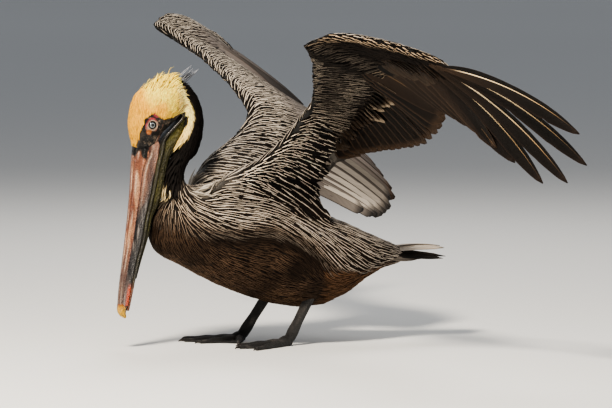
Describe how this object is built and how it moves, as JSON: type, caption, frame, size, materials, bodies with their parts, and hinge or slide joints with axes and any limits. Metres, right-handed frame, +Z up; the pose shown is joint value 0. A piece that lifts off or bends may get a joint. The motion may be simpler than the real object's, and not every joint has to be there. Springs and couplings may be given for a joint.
{
  "type": "brown pelican",
  "caption": "Life-size brown pelican standing with both wings raised and its long bill tucked down against the breast.",
  "frame": {"origin": "bottom centre of the bird's bounding box, on the ground under the feet", "axes": "+Z up, the bird faces -Y, its left side is +X, the wings spread along X"},
  "size_m": [1.4532, 0.59, 0.5585],
  "materials": {
    "belly_plumage": "matt dark brown belly feathers, with silver-streaked black-brown feathers above",
    "head_plumage": "soft short cream and golden yellow head feathers",
    "neck_plumage": "velvety dark brown-black neck feathers with a cream stripe in front",
    "wing_coverts": "small black-brown feathers with silver-grey centres and edges",
    "flight_quills": "dark brown-black flight feathers with pale shafts, slight sheen",
    "tertial_quills": "pale grey innermost wing feathers",
    "tail_quills": "grey-brown tail feathers with pale edges",
    "bill_horn": "worn horn, pinkish brown with grey mottling, semi-gloss",
    "bill_nail": "mustard-yellow horn nail, semi-gloss",
    "pouch_skin": "dark olive folded bare skin, satin",
    "face_skin": "bare face skin, pink and black, fine wrinkles",
    "eye_surface": "wet eye with a pale blue-grey iris and black pupil",
    "leg_skin": "dark grey scaly skin of legs and webbed feet",
    "claw_horn": "black horn claws"
  },
  "bodies": {
    "root": {"trunk": "belly_plumage", "head": "head_plumage", "crest": "head_plumage", "neck_upper": "neck_plumage", "neck_middle": "neck_plumage", "neck_lower": "neck_plumage", "eye_left": "eye_surface", "eye_right": "eye_surface", "bill_upper": "bill_horn", "bill_lower": "bill_horn", "bill_nail": "bill_nail", "pouch": "pouch_skin", "tail": "tail_quills", "wing_left_upper_arm": "wing_coverts", "wing_left_forearm": "wing_coverts", "wing_left_hand": "wing_coverts", "wing_left_secondaries": "flight_quills", "wing_left_inner_primaries": "flight_quills", "wing_left_primary_6": "flight_quills", "wing_left_primary_7": "flight_quills", "wing_left_primary_8": "flight_quills", "wing_left_primary_9": "flight_quills", "wing_left_primary_10": "flight_quills", "wing_left_tertials": "tertial_quills", "wing_right_upper_arm": "wing_coverts", "wing_right_forearm": "wing_coverts", "wing_right_hand": "wing_coverts", "wing_right_secondaries": "flight_quills", "wing_right_inner_primaries": "flight_quills", "wing_right_primary_6": "flight_quills", "wing_right_primary_7": "flight_quills", "wing_right_primary_8": "flight_quills", "wing_right_primary_9": "flight_quills", "wing_right_primary_10": "flight_quills", "wing_right_tertials": "tertial_quills", "leg_left": "leg_skin", "foot_left": "leg_skin", "claw_left_1": "claw_horn", "claw_left_2": "claw_horn", "claw_left_3": "claw_horn", "claw_left_4": "claw_horn", "leg_right": "leg_skin", "foot_right": "leg_skin", "claw_right_1": "claw_horn", "claw_right_2": "claw_horn", "claw_right_3": "claw_horn", "claw_right_4": "claw_horn"}
  },
  "joints": []
}
